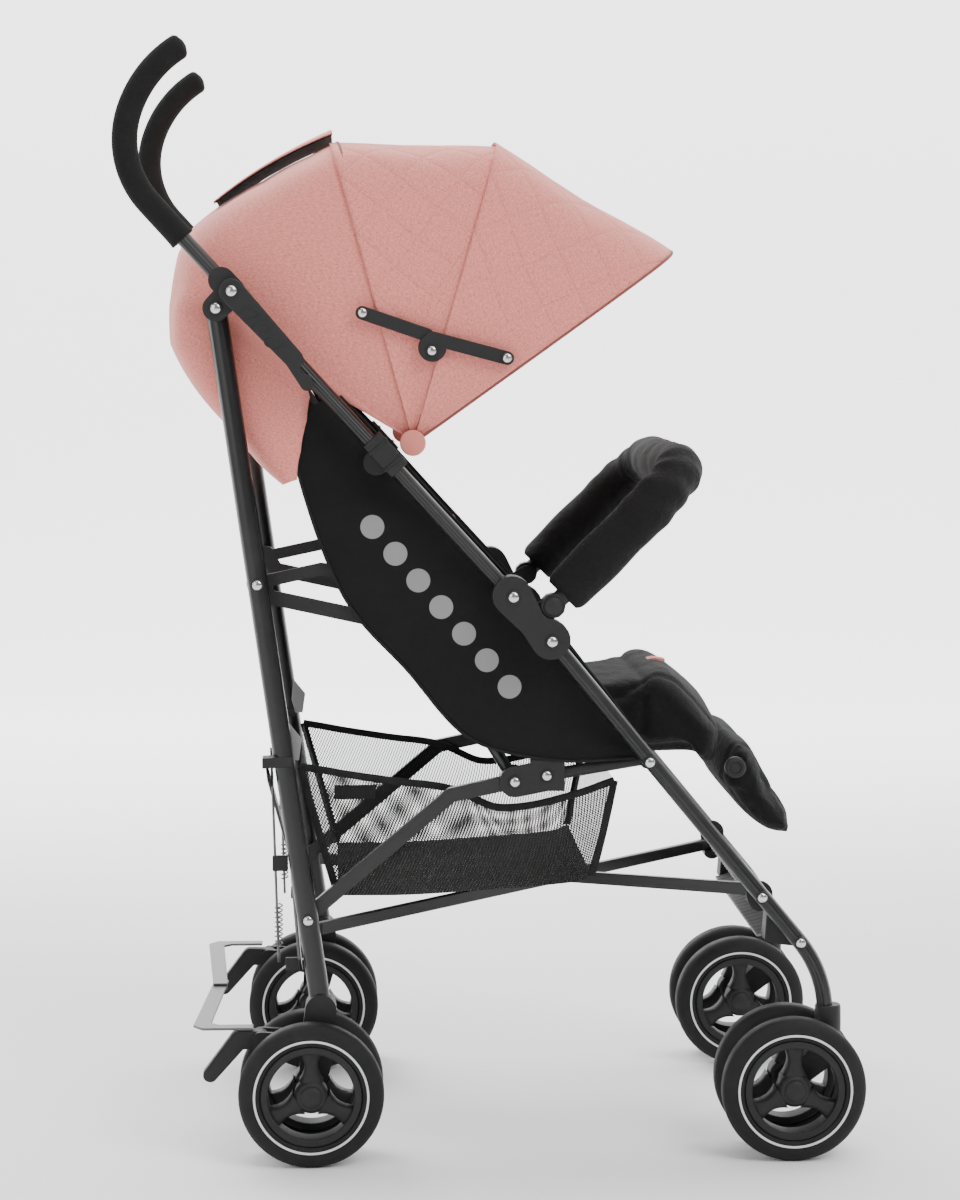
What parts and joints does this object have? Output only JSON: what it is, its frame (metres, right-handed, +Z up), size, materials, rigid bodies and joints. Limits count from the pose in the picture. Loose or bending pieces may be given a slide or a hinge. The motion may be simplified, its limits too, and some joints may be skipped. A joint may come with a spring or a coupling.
{
  "type": "baby stroller",
  "caption": "Umbrella-fold baby stroller with twin wheels on each leg, folding canopy, reclining padded seat, bumper bar, footrest and mesh basket.",
  "frame": {"origin": "on the floor, under the middle of the stroller", "axes": "+Z up, the child faces -Y, +X towards the child's left"},
  "size_m": [0.469, 0.7191, 1.0798],
  "materials": {
    "tube": "semi-gloss powder coat",
    "plastic": "fine texture",
    "foam": "matte foam",
    "steel": "zinc plated",
    "tyre": "matte foam rubber",
    "cloth": "woven polyester",
    "canopy_cloth": "melange woven polyester",
    "mesh": "open hexagon net",
    "grey_plastic": "ribbed, matte"
  },
  "bodies": {
    "seat_body": {"seat": "cloth", "basket": "mesh", "footrest": "grey_plastic", "canopy_rear": "canopy_cloth"},
    "right_frame": {"right_push_tube": "tube", "right_grip": "foam", "right_front_leg": "tube", "right_upper_bracket": "plastic", "right_armrest_bracket": "plastic", "right_side_panel": "cloth", "right_seat_rail": "plastic"},
    "right_rear_leg": {"right_rear_leg": "tube", "right_rear_foot": "plastic"},
    "right_strut": {"right_strut": "tube"},
    "right_floor_bracket": {"right_floor_bracket": "plastic"},
    "right_floor_bar": {"right_floor_bar": "tube"},
    "right_rear_brace": {"right_rear_brace": "tube"},
    "right_brake_pedal": {"right_brake_pedal": "plastic"},
    "right_brake_strap": {"right_brake_strap": "steel"},
    "right_backrest_tube": {"right_backrest_tube": "tube"},
    "right_recline_arm": {"right_recline_arm": "plastic"},
    "right_bumper_knuckle": {"right_bumper_knuckle": "plastic"},
    "right_front_fork": {"right_front_fork": "plastic"},
    "right_front_outer_wheel": {"right_front_outer_wheel": "tyre"},
    "right_front_inner_wheel": {"right_front_inner_wheel": "tyre"},
    "right_rear_outer_wheel": {"right_rear_outer_wheel": "tyre"},
    "right_rear_inner_wheel": {"right_rear_inner_wheel": "tyre"},
    "right_stretcher_rear": {"right_stretcher_rear": "plastic"},
    "right_stretcher_front": {"right_stretcher_front": "plastic"},
    "left_frame": {"left_push_tube": "tube", "left_grip": "foam", "left_front_leg": "tube", "left_upper_bracket": "plastic", "left_armrest_bracket": "plastic", "left_side_panel": "cloth", "left_seat_rail": "plastic"},
    "left_rear_leg": {"left_rear_leg": "tube", "left_rear_foot": "plastic"},
    "left_strut": {"left_strut": "tube"},
    "left_floor_bracket": {"left_floor_bracket": "plastic"},
    "left_floor_bar": {"left_floor_bar": "tube"},
    "left_rear_brace": {"left_rear_brace": "tube"},
    "left_brake_pedal": {"left_brake_pedal": "plastic"},
    "left_brake_strap": {"left_brake_strap": "steel"},
    "left_backrest_tube": {"left_backrest_tube": "tube"},
    "left_recline_arm": {"left_recline_arm": "plastic"},
    "left_bumper_knuckle": {"left_bumper_knuckle": "plastic"},
    "left_front_fork": {"left_front_fork": "plastic"},
    "left_front_outer_wheel": {"left_front_outer_wheel": "tyre"},
    "left_front_inner_wheel": {"left_front_inner_wheel": "tyre"},
    "left_rear_outer_wheel": {"left_rear_outer_wheel": "tyre"},
    "left_rear_inner_wheel": {"left_rear_inner_wheel": "tyre"},
    "left_stretcher_rear": {"left_stretcher_rear": "plastic"},
    "left_stretcher_front": {"left_stretcher_front": "plastic"},
    "backrest": {"backrest_pad": "cloth"},
    "canopy_middle": {"canopy_middle": "canopy_cloth"},
    "canopy_front": {"canopy_front": "canopy_cloth"},
    "bumper": {"bumper_bar": "cloth"},
    "calf_rest": {"calf_rest": "cloth"},
    "fold_latch": {"fold_latch": "plastic"}
  },
  "joints": [
    {"name": "fold", "type": "slide", "parent": "seat_body", "child": "right_frame", "axis": [1, 0, 0], "range_m": [0, 0.128], "deforming": ["seat", "basket", "footrest", "canopy_rear", "canopy_middle", "canopy_front", "backrest_pad", "calf_rest", "bumper_bar", "right_side_panel", "left_side_panel"]},
    {"name": "right_leg_swing", "type": "hinge", "parent": "right_frame", "child": "right_rear_leg", "pos_m": [-0.19, 0.2625, 0.821], "axis": [-1, 0, 0], "range_deg": [0, 6.3]},
    {"name": "right_strut_swing", "type": "hinge", "parent": "right_frame", "child": "right_strut", "pos_m": [-0.171, -0.0215, 0.365], "axis": [1, 0, 0], "range_deg": [0, 72.3]},
    {"name": "right_bracket_turn", "type": "hinge", "parent": "right_frame", "child": "right_floor_bracket", "pos_m": [-0.178, -0.2605, 0.253], "axis": [1, 0, 0], "range_deg": [0, 22.3]},
    {"name": "right_bar_scissor", "type": "hinge", "parent": "right_floor_bracket", "child": "right_floor_bar", "pos_m": [-0.168, -0.259, 0.2556], "axis": [0, 0.0561, 0.9984], "range_deg": [0, 30.1]},
    {"name": "right_brace_scissor", "type": "hinge", "parent": "right_rear_leg", "child": "right_rear_brace", "pos_m": [-0.19, 0.18657, 0.1894], "axis": [0, -0.99, 0.141], "range_deg": [0, 46.9]},
    {"name": "brake", "type": "hinge", "parent": "right_rear_leg", "child": "right_brake_pedal", "pos_m": [-0.19, 0.225, 0.118], "axis": [-1, 0, 0], "range_deg": [0, 14]},
    {"name": "right_strap_swing", "type": "hinge", "parent": "right_brake_pedal", "child": "right_brake_strap", "pos_m": [-0.19, 0.24, 0.1294], "axis": [0, 0, 1], "range_deg": [0, 62.3]},
    {"name": "right_tube_recline", "type": "hinge", "parent": "right_frame", "child": "right_backrest_tube", "pos_m": [-0.16, -0.0215, 0.365], "axis": [1, 0, 0], "range_deg": [-25, 0]},
    {"name": "right_arm_swing", "type": "hinge", "parent": "right_rear_leg", "child": "right_recline_arm", "pos_m": [-0.173, 0.2255, 0.559], "axis": [1, 0, 0], "range_deg": [0, 52.6]},
    {"name": "right_knuckle_turn", "type": "hinge", "parent": "right_frame", "child": "right_bumper_knuckle", "pos_m": [-0.194, -0.0565, 0.538], "axis": [1, 0, 0], "range_deg": [-35.5, 0]},
    {"name": "right_caster", "type": "hinge", "parent": "right_frame", "child": "right_front_fork", "pos_m": [-0.19, -0.327, 0.1], "axis": [0, 0, 1], "continuous": true},
    {"name": "right_front_outer_wheel_spin", "type": "hinge", "parent": "right_front_fork", "child": "right_front_outer_wheel", "pos_m": [-0.2195, -0.2895, 0.07], "axis": [1, 0, 0], "continuous": true},
    {"name": "right_front_inner_wheel_spin", "type": "hinge", "parent": "right_front_fork", "child": "right_front_inner_wheel", "pos_m": [-0.1605, -0.2895, 0.07], "axis": [1, 0, 0], "continuous": true},
    {"name": "right_rear_outer_wheel_spin", "type": "hinge", "parent": "right_rear_leg", "child": "right_rear_outer_wheel", "pos_m": [-0.2195, 0.1765, 0.07], "axis": [1, 0, 0], "continuous": true},
    {"name": "right_rear_inner_wheel_spin", "type": "hinge", "parent": "right_rear_leg", "child": "right_rear_inner_wheel", "pos_m": [-0.1605, 0.1765, 0.07], "axis": [1, 0, 0], "continuous": true},
    {"name": "right_stretcher_swing", "type": "hinge", "parent": "right_frame", "child": "right_stretcher_rear", "pos_m": [-0.1793, 0.1245, 0.817], "axis": [-1, 0, 0], "range_deg": [0, 113.2]},
    {"name": "right_stretcher_knee", "type": "hinge", "parent": "right_stretcher_rear", "child": "right_stretcher_front", "pos_m": [-0.181, 0.0585, 0.781], "axis": [1, 0, 0], "range_deg": [0, 186.4]},
    {"name": "fold_left", "type": "slide", "parent": "seat_body", "child": "left_frame", "axis": [-1, 0, 0], "range_m": [0, 0.128]},
    {"name": "left_leg_swing", "type": "hinge", "parent": "left_frame", "child": "left_rear_leg", "pos_m": [0.19, 0.2625, 0.821], "axis": [-1, 0, 0], "range_deg": [0, 6.3]},
    {"name": "left_strut_swing", "type": "hinge", "parent": "left_frame", "child": "left_strut", "pos_m": [0.171, -0.0215, 0.365], "axis": [1, 0, 0], "range_deg": [0, 72.3]},
    {"name": "left_bracket_turn", "type": "hinge", "parent": "left_frame", "child": "left_floor_bracket", "pos_m": [0.178, -0.2605, 0.253], "axis": [1, 0, 0], "range_deg": [0, 22.3]},
    {"name": "left_bar_scissor", "type": "hinge", "parent": "left_floor_bracket", "child": "left_floor_bar", "pos_m": [0.168, -0.259, 0.243], "axis": [0, -0.0561, -0.9984], "range_deg": [0, 30.1]},
    {"name": "left_brace_scissor", "type": "hinge", "parent": "left_rear_leg", "child": "left_rear_brace", "pos_m": [0.19, 0.19004, 0.1889], "axis": [0, 0.99, -0.141], "range_deg": [0, 46.9]},
    {"name": "brake_left", "type": "hinge", "parent": "left_rear_leg", "child": "left_brake_pedal", "pos_m": [0.19, 0.225, 0.118], "axis": [-1, 0, 0], "range_deg": [0, 14]},
    {"name": "left_strap_swing", "type": "hinge", "parent": "left_brake_pedal", "child": "left_brake_strap", "pos_m": [0.19, 0.24, 0.1294], "axis": [0, 0, -1], "range_deg": [0, 62.3]},
    {"name": "left_tube_recline", "type": "hinge", "parent": "left_frame", "child": "left_backrest_tube", "pos_m": [0.16, -0.0215, 0.365], "axis": [1, 0, 0], "range_deg": [-25, 0]},
    {"name": "left_arm_swing", "type": "hinge", "parent": "left_rear_leg", "child": "left_recline_arm", "pos_m": [0.173, 0.2255, 0.559], "axis": [1, 0, 0], "range_deg": [0, 52.6]},
    {"name": "left_knuckle_turn", "type": "hinge", "parent": "left_frame", "child": "left_bumper_knuckle", "pos_m": [0.194, -0.0565, 0.538], "axis": [1, 0, 0], "range_deg": [-35.5, 0]},
    {"name": "left_caster", "type": "hinge", "parent": "left_frame", "child": "left_front_fork", "pos_m": [0.19, -0.327, 0.1], "axis": [0, 0, 1], "continuous": true},
    {"name": "left_front_outer_wheel_spin", "type": "hinge", "parent": "left_front_fork", "child": "left_front_outer_wheel", "pos_m": [0.2195, -0.2895, 0.07], "axis": [1, 0, 0], "continuous": true},
    {"name": "left_front_inner_wheel_spin", "type": "hinge", "parent": "left_front_fork", "child": "left_front_inner_wheel", "pos_m": [0.1605, -0.2895, 0.07], "axis": [1, 0, 0], "continuous": true},
    {"name": "left_rear_outer_wheel_spin", "type": "hinge", "parent": "left_rear_leg", "child": "left_rear_outer_wheel", "pos_m": [0.2195, 0.1765, 0.07], "axis": [1, 0, 0], "continuous": true},
    {"name": "left_rear_inner_wheel_spin", "type": "hinge", "parent": "left_rear_leg", "child": "left_rear_inner_wheel", "pos_m": [0.1605, 0.1765, 0.07], "axis": [1, 0, 0], "continuous": true},
    {"name": "left_stretcher_swing", "type": "hinge", "parent": "left_frame", "child": "left_stretcher_rear", "pos_m": [0.1793, 0.1245, 0.817], "axis": [-1, 0, 0], "range_deg": [0, 113.2]},
    {"name": "left_stretcher_knee", "type": "hinge", "parent": "left_stretcher_rear", "child": "left_stretcher_front", "pos_m": [0.181, 0.0585, 0.781], "axis": [1, 0, 0], "range_deg": [0, 186.4]},
    {"name": "recline", "type": "hinge", "parent": "seat_body", "child": "backrest", "pos_m": [0, -0.0215, 0.365], "axis": [1, 0, 0], "range_deg": [-25, 0]},
    {"name": "canopy_fold", "type": "hinge", "parent": "seat_body", "child": "canopy_middle", "pos_m": [0, 0.0765, 0.693], "axis": [-1, 0, 0], "range_deg": [0, 27]},
    {"name": "canopy_front_fold", "type": "hinge", "parent": "canopy_middle", "child": "canopy_front", "pos_m": [0, 0.0765, 0.693], "axis": [-1, 0, 0], "range_deg": [0, 33]},
    {"name": "bumper_lift", "type": "hinge", "parent": "seat_body", "child": "bumper", "pos_m": [0, -0.0565, 0.538], "axis": [1, 0, 0], "range_deg": [-35, 0]},
    {"name": "calf_raise", "type": "hinge", "parent": "seat_body", "child": "calf_rest", "pos_m": [0, -0.2415, 0.372], "axis": [1, 0, 0], "range_deg": [-50, 0]},
    {"name": "latch", "type": "hinge", "parent": "right_frame", "child": "fold_latch", "pos_m": [-0.21, 0.2475, 0.837], "axis": [1, 0, 0], "range_deg": [0, 25]}
  ],
  "couplings": [
    {"joint": "right_leg_swing", "follows": "fold", "rad_per_m": 0.81812},
    {"joint": "right_strut_swing", "follows": "fold", "rad_per_m": 9.8175},
    {"joint": "right_bracket_turn", "follows": "fold", "rad_per_m": 2.9998},
    {"joint": "right_bar_scissor", "follows": "fold", "rad_per_m": 4.0633},
    {"joint": "right_brace_scissor", "follows": "fold", "rad_per_m": 6.3541},
    {"joint": "right_strap_swing", "follows": "fold", "rad_per_m": 8.4539},
    {"joint": "right_tube_recline", "follows": "recline", "ratio": 1},
    {"joint": "right_arm_swing", "follows": "recline", "ratio": -2.1},
    {"joint": "right_knuckle_turn", "follows": "bumper_lift", "ratio": 1},
    {"joint": "right_stretcher_swing", "follows": "canopy_fold", "ratio": 4.1852},
    {"joint": "right_stretcher_knee", "follows": "canopy_fold", "ratio": 6.8963},
    {"joint": "fold_left", "follows": "fold", "ratio": 1},
    {"joint": "left_leg_swing", "follows": "fold", "rad_per_m": 0.81812},
    {"joint": "left_strut_swing", "follows": "fold", "rad_per_m": 9.8175},
    {"joint": "left_bracket_turn", "follows": "fold", "rad_per_m": 2.9998},
    {"joint": "left_bar_scissor", "follows": "fold", "rad_per_m": 4.0633},
    {"joint": "left_brace_scissor", "follows": "fold", "rad_per_m": 6.3541},
    {"joint": "brake_left", "follows": "brake", "ratio": 1},
    {"joint": "left_strap_swing", "follows": "fold", "rad_per_m": 8.4539},
    {"joint": "left_tube_recline", "follows": "recline", "ratio": 1},
    {"joint": "left_arm_swing", "follows": "recline", "ratio": -2.1},
    {"joint": "left_knuckle_turn", "follows": "bumper_lift", "ratio": 1},
    {"joint": "left_stretcher_swing", "follows": "canopy_fold", "ratio": 4.1852},
    {"joint": "left_stretcher_knee", "follows": "canopy_fold", "ratio": 6.8963},
    {"joint": "canopy_front_fold", "follows": "canopy_fold", "ratio": 1.2222}
  ]
}
